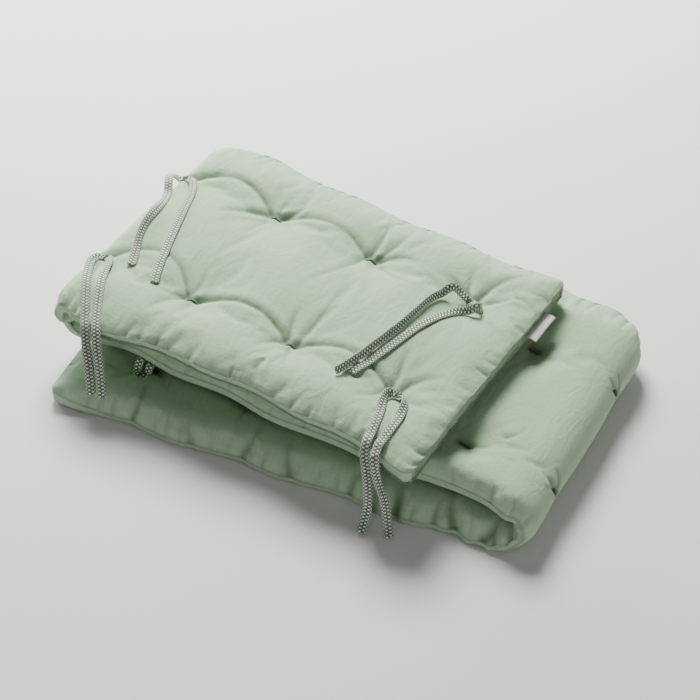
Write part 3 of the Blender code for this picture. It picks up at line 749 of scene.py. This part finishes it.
def buildPad(table, field):
    places = spacedOut(0, pad["length"])
    columns = spacedOut(-pad["width"] / 2, pad["width"] / 2)
    bm = bmesh.new()
    bmesh.ops.create_grid(bm, x_segments=len(places) - 1, y_segments=len(columns) - 1, size=1)
    thick = bmesh.ops.extrude_face_region(bm, geom=bm.faces[:])
    raised = [item for item in thick["geom"] if isinstance(item, bmesh.types.BMVert)]
    bmesh.ops.translate(bm, verts=raised, vec=(0, 0, 1))
    walls = [edge for edge in bm.edges if abs(edge.verts[0].co.z - edge.verts[1].co.z) > 0.5]
    bmesh.ops.subdivide_edges(bm, edges=walls, cuts=shell["bandRings"], use_grid_fill=True)
    refine(bm, places, columns)
    bmesh.ops.recalc_face_normals(bm, faces=bm.faces[:])
    mesh = bpy.data.meshes.new("pad")
    bm.to_mesh(mesh)
    bm.free()
    spots = np.empty(len(mesh.vertices) * 3)
    mesh.vertices.foreach_get("co", spots)
    spots = spots.reshape(-1, 3)
    place, column, level = flatSpots(spots, places, columns)
    outX = np.where(np.abs(spots[:, 0]) > 1 - 1e-6, np.sign(spots[:, 0]), 0)
    outY = np.where(np.abs(spots[:, 1]) > 1 - 1e-6, np.sign(spots[:, 1]), 0)
    lift = np.zeros(len(place))
    paintedShade = np.zeros(len(place))
    flatPlace, flatColumn = place.copy(), column.copy()
    for labelledSide in (True, False):
        mine = np.flatnonzero(level > 0.999 if labelledSide else level < -0.999)
        newPlace, newColumn, heights, dark = panelShape(table, field, place[mine], column[mine], labelledSide)
        place[mine], column[mine], paintedShade[mine] = newPlace, newColumn, dark
        lift[mine] = heights if labelledSide else -heights
    seam = (np.abs(level) > 0.999) & ((outX != 0) | (outY != 0))
    band = np.abs(level) < 0.999
    hidden = (flatPlace < 0.44) & (level > 0)
    bulge = shell["bandBulge"] * (1 - level ** 2) - shell["seamGroove"] * (np.abs(level) > 0.999)
    bulge = np.where(hidden | (flatPlace > 1.08), bulge * 0.4, bulge)
    around = flatPlace + flatColumn
    gather = 0.0006 * (np.sin(2 * math.pi * around / 0.0061 + 2 * np.sin(around / 0.017)) + np.sin(around / 0.0029))
    push = np.where(band, bulge + gather * (1 - level ** 2), np.where(seam, bulge, 0.0))
    # on the top layer the edge tucks under
    tuck = shell["tuck"] * (1 - level) / 2 * np.clip((0.40 - flatPlace) / 0.05, 0, 1)
    push = np.where(band | seam, push - tuck, 0)
    place += outX * push
    column += outY * push
    edge = pad["width"] / 2 + flatColumn
    for gathered in frontGathers:
        beside = np.exp(-((flatPlace - gathered["place"] / 1000) / 0.0075) ** 2 - (edge / 0.013) ** 2)
        column += gatherPull * gathered["deep"] / 1000 * beside
    lift[band | seam] = (level * edgeValue(flatPlace, "band"))[band | seam]
    # painted shade on the boxed edge, darker on the labelled end's band; painted shade along the seams, darkest where
    # the top layer's edge tucks under
    paintedShade[band] = np.where(outX < 0, 0.6, 0.2)[band]
    paintedShade[seam] = np.where(hidden, 0.6, np.where(flatPlace > 0.85, 0.45, 0.8))[seam]
    points = foldOver(table, place, column, lift)
    mesh.vertices.foreach_set("co", points.ravel())
    flat = np.stack((flatPlace + outX * (1 - level) * 0.005 * band,
                     flatColumn + outY * (1 - level) * 0.005 * band + (level < -0.999) * 0.5), axis=1)
    corners = np.empty(len(mesh.loops), dtype=int)
    mesh.loops.foreach_get("vertex_index", corners)
    layout = mesh.uv_layers.new(name="cloth")
    layout.data.foreach_set("uv", flat[corners].ravel())
    # the painted shade goes out as the point attribute "crease" for the cotton to darken
    shade = mesh.attributes.new("crease", "FLOAT", "POINT")
    shade.data.foreach_set("value", np.clip(paintedShade, 0, 1))
    mesh.shade_smooth()
    mesh.update()
    piece = linkNew("pad_quilt", mesh)
    turnOutwards(piece)
    return piece


def turnOutwards(piece):
    bm = bmesh.new()
    bm.from_mesh(piece.data)
    if bm.calc_volume(signed=True) < 0:
        bmesh.ops.reverse_faces(bm, faces=bm.faces[:])
    bm.to_mesh(piece.data)
    bm.free()


table = foldTable()
table["side"] = np.array([posture(place)[2] for place in table["place"]])
field = settlePanel()
print("panel settled", field[:, :, 2].max())
quilt = buildPad(table, field)
print("pad folded", len(quilt.data.polygons))


# bar tacks that draw the tufts down
tack = dict(long=0.0118, thick=0.0034, high=0.0036, raised=0.0008, ribs=11, rings=36, around=8)


def rolledTube(rings, around):
    # a closed tube: a grid to be rolled up, each vertex's ring and its place round
    bm = bmesh.new()
    bmesh.ops.create_grid(bm, x_segments=rings, y_segments=around, size=0.5)
    return bm


def finishTube(bm):
    bmesh.ops.remove_doubles(bm, verts=bm.verts[:], dist=1e-6)
    bmesh.ops.holes_fill(bm, edges=bm.edges[:], sides=0)
    bmesh.ops.recalc_face_normals(bm, faces=bm.faces[:])


def buildTacks(table, field):
    whole = bmesh.new()
    steps = np.linspace(-0.5, 0.5, tack["rings"] + 1)
    for tuftPlace, tuftRow in tufts():
        for side in (1, -1):
            cloth = panelShape(table, field, tuftPlace + steps * tack["long"],
                               np.full(len(steps), tuftRow), side > 0)[2] + tack["raised"]
            bm = rolledTube(tack["rings"], tack["around"])
            flat = []
            for vertex in bm.verts:
                along, turn = vertex.co.x, (vertex.co.y + 0.5) * 2 * math.pi
                rounding = math.sqrt(max(1 - abs(2 * along) ** 6, 0.02))
                rib = 1 + 0.13 * math.cos(2 * math.pi * tack["ribs"] * along)
                flat.append((tuftPlace + along * tack["long"],
                             tuftRow + math.cos(turn) * tack["thick"] / 2 * rounding * rib,
                             side * (np.interp(along, steps, cloth)
                                     + math.sin(turn) * tack["high"] / 2 * rounding * rib)))
            flat = np.array(flat)
            for vertex, point in zip(bm.verts, foldOver(table, flat[:, 0], flat[:, 1], flat[:, 2])):
                vertex.co = point
            finishTube(bm)
            part = bpy.data.meshes.new("part")
            bm.to_mesh(part)
            bm.free()
            whole.from_mesh(part)
            bpy.data.meshes.remove(part)
    mesh = bpy.data.meshes.new("tuft_tacks")
    whole.to_mesh(mesh)
    whole.free()
    mesh.shade_smooth()
    return linkNew("tuft_tacks", mesh)


tacks = buildTacks(table, field)
print("tufts tacked")


def clothTree(piece):
    spots = [vertex.co.copy() for vertex in piece.data.vertices]
    faces = [tuple(face.vertices) for face in piece.data.polygons]
    return BVHTree.FromPolygons(spots, faces)


def layOnCloth(rows, cloth):
    # lowers a lying stretch to the cloth, and lifts what would sink in
    laid = []
    for x, y, z, lean in rows:
        tilt = math.radians(abs(lean))
        stand = math.sin(tilt) * tape["width"] / 2 + math.cos(tilt) * tape["thick"] / 2 + tape["lift"]
        spot, _, _, drop = cloth.ray_cast(Vector((x, y, z + 0.004)), Vector((0, 0, -1)))
        if spot and -0.004 < z - spot.z - stand < 0.006:
            z = spot.z + stand
        point = Vector((x, y, z))
        near, normal, _, away = cloth.find_nearest(point)
        inside = (point - near).dot(normal)
        if inside < stand and away < 0.012:
            point = near + normal * stand
        laid.append([*point, lean])
    laid = np.array(laid)
    for _ in range(6):
        eased = laid.copy()
        eased[1:-1, :3] = laid[1:-1, :3] * 0.5 + (laid[:-2, :3] + laid[2:, :3]) * 0.25
        laid[:, :3] = eased[:, :3]
    return laid


def tapeFrames(rows):
    ahead = np.gradient(rows[:, :3], axis=0)
    frames = []
    for onwards, lean in zip(ahead, rows[:, 3]):
        onwards = Vector(onwards).normalized()
        level = onwards.cross(Vector((0, 0, 1))).normalized()
        turn = Matrix.Rotation(math.radians(lean), 3, onwards)
        frames.append((turn @ level, turn @ level.cross(onwards)))
    return frames


def buildTail(name, rows, frames, marks):
    # a plump braided tape swept along its rows
    rings, around = len(rows) - 1, tape["around"]
    bm = rolledTube(rings, around)
    for vertex in bm.verts:
        number = round((vertex.co.x + 0.5) * rings)
        share = vertex.co.y + 0.5
        turn = 2 * math.pi * share
        across, flat = frames[number]
        end = min(number, rings - number) * tape["ring"]
        plump = 0.55 + 0.45 * min(1, end / 0.0012) ** 0.5
        shape = tape["cornering"]
        wide = math.copysign(abs(math.cos(turn)) ** shape, math.cos(turn)) * tape["width"] / 2
        high = math.copysign(abs(math.sin(turn)) ** shape, math.sin(turn)) * tape["thick"] / 2
        braid = math.cos(2 * math.pi * marks[number] / tape["stitch"]) * math.cos(turn * tape["ribs"])
        swell = tape["relief"] * (abs(braid) ** 0.6 - 0.4)
        out = Vector((wide / (tape["width"] / 2), high / (tape["thick"] / 2), 0)).normalized()
        vertex.co = (Vector(rows[number][:3])
                     + across * (wide * plump + out.x * swell) + flat * (high * plump + out.y * swell))
    layer = bm.loops.layers.uv.new("braid")
    for face in bm.faces:
        for loop in face.loops:
            loop[layer].uv = (0, 0)
    bm.verts.ensure_lookup_table()
    stride = rings + 1
    for face in bm.faces:
        for loop in face.loops:
            number = loop.vert.index
            loop[layer].uv = (marks[number % stride], number // stride / around)
    finishTube(bm)
    mesh = bpy.data.meshes.new(name)
    bm.to_mesh(mesh)
    bm.free()
    mesh.shade_smooth()
    piece = linkNew(name, mesh)
    turnOutwards(piece)
    return piece


def buildStitches(name, rows, frames, where):
    # dark threads that cross the tape at its tack
    whole = bmesh.new()
    for step in (-1.5, -0.5, 0.5, 1.5):
        number = int(np.clip(where + round(step * 2), 1, len(rows) - 2))
        across, flat = frames[number]
        onwards = across.cross(flat)
        middle = Vector(rows[number][:3])
        bm = rolledTube(10, 6)
        for vertex in bm.verts:
            share, turn = vertex.co.x, (vertex.co.y + 0.5) * 2 * math.pi
            over = tape["thick"] * (0.62 - 0.9 * abs(share) ** 3 * 4)
            thread = 0.00055
            vertex.co = (middle + across * share * tape["width"] * 0.9 + onwards * share * 0.0012
                         + flat * (over + math.sin(turn) * thread) + onwards * math.cos(turn) * thread)
        finishTube(bm)
        part = bpy.data.meshes.new("part")
        bm.to_mesh(part)
        bm.free()
        whole.from_mesh(part)
        bpy.data.meshes.remove(part)
    mesh = bpy.data.meshes.new(name)
    whole.to_mesh(mesh)
    whole.free()
    mesh.shade_smooth()
    return linkNew(name, mesh)


def buildTie(node, cloth):
    route = tieRoutes[node]
    # the lay-down runs on a fine curve, and the tack's place on it is kept
    fine = np.array([row[:] for row in smoothRoute(route["points"], 6)])
    laid = layOnCloth(fine, cloth)
    split = route["tack"] * 6
    made = []
    head, marks = evenRows([Vector(row) for row in laid[split::-1]], tape["ring"])
    rear, rearMarks = evenRows([Vector(row) for row in laid[split:]], tape["ring"])
    head[:, 3] *= -1
    frames = tapeFrames(rear)
    stitches = buildStitches(node + "_tack", rear, frames, 2)
    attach(stitches, "root")
    for tail, rows, reach in (("a", head, marks), ("b", rear, rearMarks)):
        piece = buildTail(f"{node}_{tail}", rows, tapeFrames(rows), reach)
        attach(piece, "root")
        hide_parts(node)
        made.append(piece)
        print(piece.name, "length", round(float(reach[-1]), 4))
    return made, stitches


cloth = clothTree(quilt)
tails, tieTacks = [], []
for node in tieRoutes:
    made, stitches = buildTie(node, cloth)
    tails += made
    tieTacks.append(stitches)
print("ties laid", len(tails))


# the blank tab in the end seam
tab = dict(long=0.041, out=0.0105, thick=0.0005, apart=0.0004, middle=0.0885, inSeam=0.0006, rows=24, turns=18)


def buildTab():
    # a strip folded over on itself, its two layers just apart, a little wavy
    heading = posture(0.0)[0]
    outwards = Vector((-math.cos(heading), -math.sin(heading), 0))
    across = Vector((-outwards.y, outwards.x, 0))
    root = Vector(folded["labelEnd"]) + across * tab["middle"]
    root.z -= edges[0]["droop"]
    bm = bmesh.new()
    bmesh.ops.create_grid(bm, x_segments=tab["turns"], y_segments=tab["rows"], size=0.5)
    half = tab["apart"] / 2 + tab["thick"] / 2
    for vertex in bm.verts:
        share, along = vertex.co.x * 2, vertex.co.y * tab["long"]
        reach = 1 - abs(share)
        out = tab["out"] * min(1, reach / 0.92 if abs(share) > 0.08 else 1)
        layer = half * max(-1, min(1, share / 0.12))
        lift = layer + 0.0005 * math.sin(along * 150 + 0.6) * out / tab["out"] - 0.0009 * (out / tab["out"]) ** 2
        vertex.co = root + outwards * (tab["inSeam"] + out) + across * along + Vector((0, 0, lift))
    bmesh.ops.recalc_face_normals(bm, faces=bm.faces[:])
    bmesh.ops.solidify(bm, geom=bm.faces[:], thickness=tab["thick"] * 0.8)
    bmesh.ops.recalc_face_normals(bm, faces=bm.faces[:])
    mesh = bpy.data.meshes.new("blank_tab")
    bm.to_mesh(mesh)
    bm.free()
    mesh.shade_smooth()
    mesh.set_sharp_from_angle(angle=math.radians(50))
    piece = linkNew("blank_tab", mesh)
    turnOutwards(piece)
    return piece


label = buildTab()
print("tab sewn in")


# finishes: shared effects are groups that give out values, each shader stays in its own material

class Net:
    # adds and links shader nodes
    def __init__(self, tree):
        self.tree = tree

    def add(self, kind, values=(), **options):
        node = self.tree.nodes.new("ShaderNode" + kind)
        for name, value in options.items():
            setattr(node, name, value)
        for name, value in dict(values).items():
            if isinstance(value, bpy.types.NodeSocket):
                self.tree.links.new(value, node.inputs[name])
            else:
                node.inputs[name].default_value = value
        return node

    def math(self, operation, first, second=None):
        values = {0: first} if second is None else {0: first, 1: second}
        return self.add("Math", values, operation=operation).outputs[0]

    def mix(self, share, first, second):
        node = self.add("Mix", data_type="RGBA")
        for socket, value in (("Factor_Float", share), ("A_Color", first), ("B_Color", second)):
            target = next(item for item in node.inputs if item.identifier == socket)
            if isinstance(value, bpy.types.NodeSocket):
                self.tree.links.new(value, target)
            else:
                target.default_value = value
        return next(item for item in node.outputs if item.identifier == "Result_Color")


def makeGroup(name, takes, gives):
    tree = bpy.data.node_groups.new(name, "ShaderNodeTree")
    for label, kind, value in takes:
        socket = tree.interface.new_socket(name=label, in_out="INPUT", socket_type="NodeSocket" + kind)
        if value is not None:
            socket.default_value = value
    for label, kind in gives:
        tree.interface.new_socket(name=label, in_out="OUTPUT", socket_type="NodeSocket" + kind)
    net = Net(tree)
    return tree, net, tree.nodes.new("NodeGroupInput").outputs, tree.nodes.new("NodeGroupOutput").inputs


def makeWeave():
    # plain weave: warp and weft threads over and under in turn; also which way the cloth is slubbed
    tree, net, given, out = makeGroup(
        "plain weave", (("Cloth", "Vector", None), ("Pitch", "Float", 0.0006)),
        (("Height", "Float"), ("Slub", "Float")))
    cells = net.add("VectorMath", {0: given["Cloth"]}, operation="SCALE")
    tree.links.new(net.math("DIVIDE", 1.0, given["Pitch"]), cells.inputs["Scale"])
    parts = net.add("SeparateXYZ", {0: cells.outputs[0]}).outputs
    warp = net.math("SINE", net.math("MULTIPLY", parts[0], math.pi))
    weft = net.math("SINE", net.math("MULTIPLY", parts[1], math.pi))
    over = net.math("MULTIPLY", net.math("COSINE", net.math("MULTIPLY", parts[0], math.pi)),
                    net.math("COSINE", net.math("MULTIPLY", parts[1], math.pi)))
    height = net.math("ADD", net.math("ADD", net.math("ABSOLUTE", warp), net.math("ABSOLUTE", weft)),
                      net.math("MULTIPLY", over, 0.6))
    tree.links.new(height, out["Height"])
    slubs = []
    for scale in ((40, 900, 1), (900, 40, 1)):
        stretched = net.add("VectorMath", {0: given["Cloth"], 1: scale}, operation="MULTIPLY")
        slubs.append(net.add("TexNoise", {"Vector": stretched.outputs[0], "Scale": 1.0, "Detail": 2.0}).outputs[0])
    spread = net.add("MapRange", {"Value": net.math("ADD", *slubs), "From Min": 0.85, "From Max": 1.5})
    tree.links.new(spread.outputs[0], out["Slub"])
    return tree


def makeBraid():
    # round-braided cells in slanting rows: pale yarns show in every other cell
    tree, net, given, out = makeGroup(
        "braid", (("Along", "Vector", None), ("Stitch", "Float", tape["stitch"]), ("Ribs", "Float", tape["ribs"])),
        (("Pale", "Float"), ("Height", "Float")))
    parts = net.add("SeparateXYZ", {0: given["Along"]}).outputs
    full = 2 * math.pi
    along = net.math("COSINE", net.math("MULTIPLY", net.math("DIVIDE", parts[0], given["Stitch"]), full))
    around = net.math("COSINE", net.math("MULTIPLY", net.math("MULTIPLY", parts[1], given["Ribs"]), full))
    cell = net.math("MULTIPLY", along, around)
    pale = net.add("MapRange", {"Value": cell, "From Min": 0.12, "From Max": 0.32}, interpolation_type="SMOOTHSTEP")
    tree.links.new(pale.outputs[0], out["Pale"])
    tree.links.new(net.math("POWER", net.math("ABSOLUTE", cell), 0.6), out["Height"])
    return tree


def makeMottle():
    # uneven dye and wear, broad and fine
    tree, net, given, out = makeGroup("mottle", (("Where", "Vector", None),), (("Broad", "Float"), ("Fine", "Float")))
    for label, scale, detail in (("Broad", 14.0, 3.0), ("Fine", 260.0, 3.0)):
        spots = net.add("TexNoise", {"Vector": given["Where"], "Scale": scale, "Detail": detail})
        tree.links.new(spots.outputs[0], out[label])
    return tree


def makeCrinkle():
    # short soft wrinkles of washed cotton
    tree, net, given, out = makeGroup("crinkle", (("Cloth", "Vector", None),), (("Height", "Float"),))
    heights = []
    for scale, weight, squeeze in ((55.0, 1.0, (1.0, 0.45, 1)), (120.0, 0.45, (0.6, 1.0, 1))):
        drawn = net.add("VectorMath", {0: given["Cloth"], 1: squeeze}, operation="MULTIPLY")
        folds = net.add("TexNoise", {"Vector": drawn.outputs[0], "Scale": scale, "Detail": 2.0, "Distortion": 0.8})
        ridge = net.math("ABSOLUTE", net.math("SUBTRACT", folds.outputs[0], 0.5))
        heights.append(net.math("MULTIPLY", net.math("POWER", ridge, 0.7), weight))
    tree.links.new(net.math("ADD", *heights), out["Height"])
    return tree


weave, braid, mottle, crinkle = makeWeave(), makeBraid(), makeMottle(), makeCrinkle()


def startMaterial(name, **sockets):
    material = bpy.data.materials.new(name)
    material.use_nodes = True
    net = Net(material.node_tree)
    shader = net.tree.nodes["Principled BSDF"]
    for socket, value in sockets.items():
        shader.inputs[socket.replace("_", " ")].default_value = value
    return material, net, shader


def addGroup(net, group, values):
    node = net.add("Group", node_tree=group)
    for name, value in values.items():
        if isinstance(value, bpy.types.NodeSocket):
            net.tree.links.new(value, node.inputs[name])
        else:
            node.inputs[name].default_value = value
    return node.outputs


def makeCotton():
    material, net, shader = startMaterial(
        "sage cotton", Roughness=0.88, Sheen_Weight=0.10, Sheen_Roughness=0.45, Specular_IOR_Level=0.25)
    flat = net.add("UVMap", uv_map="cloth").outputs[0]
    where = net.add("TexCoord").outputs["Object"]
    # painted shade: the "crease" attribute marks creases, tufts and seams
    deep = net.add("Attribute", attribute_name="crease").outputs["Fac"]
    spots = addGroup(net, mottle, {"Where": where})
    threads = addGroup(net, weave, {"Cloth": flat, "Pitch": 0.00065})
    plain = net.mix(spots["Broad"], (0.342, 0.490, 0.315, 1), (0.376, 0.534, 0.348, 1))
    slubbed = net.mix(net.math("MULTIPLY", threads["Slub"], 0.55), plain, (0.47, 0.61, 0.44, 1))
    # painted shade: the colour is drawn toward a deep green where the attribute is high
    paintedShadeColour = net.mix(net.math("MULTIPLY", deep, 0.82), slubbed, (0.135, 0.185, 0.125, 1))
    net.tree.links.new(paintedShadeColour, shader.inputs["Base Color"])
    folds = addGroup(net, crinkle, {"Cloth": flat})
    rise = net.math("ADD", net.math("MULTIPLY", threads["Height"], 0.00007),
                    net.math("MULTIPLY", spots["Fine"], 0.00030))
    rise = net.math("ADD", rise, net.math("MULTIPLY", folds["Height"], 0.0014))
    bump = net.add("Bump", {"Height": rise, "Distance": 1.0, "Strength": 0.7})
    net.tree.links.new(bump.outputs[0], shader.inputs["Normal"])
    return material


def makeBraidedTape():
    material, net, shader = startMaterial("braided tape", Roughness=0.75, Sheen_Weight=0.15, Specular_IOR_Level=0.3)
    along = net.add("UVMap", uv_map="braid").outputs[0]
    where = net.add("TexCoord").outputs["Object"]
    cells = addGroup(net, braid, {"Along": along})
    spots = addGroup(net, mottle, {"Where": where})
    green = net.mix(spots["Fine"], (0.085, 0.125, 0.080, 1), (0.140, 0.195, 0.130, 1))
    yarns = net.mix(cells["Pale"], green, (0.80, 0.86, 0.77, 1))
    net.tree.links.new(yarns, shader.inputs["Base Color"])
    rise = net.math("ADD", net.math("MULTIPLY", cells["Height"], 0.0003), net.math("MULTIPLY", spots["Fine"], 0.0003))
    bump = net.add("Bump", {"Height": rise, "Distance": 1.0, "Strength": 0.8})
    net.tree.links.new(bump.outputs[0], shader.inputs["Normal"])
    return material


def makeThread(name, dark, pale):
    material, net, shader = startMaterial(name, Roughness=0.7, Sheen_Weight=0.1, Specular_IOR_Level=0.35)
    spots = addGroup(net, mottle, {"Where": net.add("TexCoord").outputs["Object"]})
    net.tree.links.new(net.mix(spots["Fine"], dark, pale), shader.inputs["Base Color"])
    return material


def makeTabCloth():
    material, net, shader = startMaterial("tab weave", Roughness=0.85, Sheen_Weight=0.1, Specular_IOR_Level=0.3)
    where = net.add("TexCoord").outputs["Object"]
    spots = addGroup(net, mottle, {"Where": where})
    threads = addGroup(net, weave, {"Cloth": where, "Pitch": 0.0005})
    net.tree.links.new(net.mix(spots["Fine"], (0.60, 0.57, 0.54, 1), (0.74, 0.71, 0.68, 1)), shader.inputs["Base Color"])
    bump = net.add("Bump", {"Height": net.math("MULTIPLY", threads["Height"], 0.00006), "Distance": 1.0})
    net.tree.links.new(bump.outputs[0], shader.inputs["Normal"])
    return material


cotton, braided, tabCloth = makeCotton(), makeBraidedTape(), makeTabCloth()
tuftThread = makeThread("tuft thread", (0.085, 0.12, 0.077, 1), (0.17, 0.225, 0.155, 1))
tieThread = makeThread("tie thread", (0.07, 0.11, 0.07, 1), (0.14, 0.19, 0.13, 1))
for pieces, material in (([quilt], cotton), (tails, braided), (tieTacks, tieThread), ([tacks], tuftThread), ([label], tabCloth)):
    for piece in pieces:
        piece.data.materials.append(material)
print("finishes")

for piece, node, finish in ((quilt, "quilt", "cotton"), (label, "label", "label_weave")):
    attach(piece, "root")
    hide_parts(node)
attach(tacks, "root")
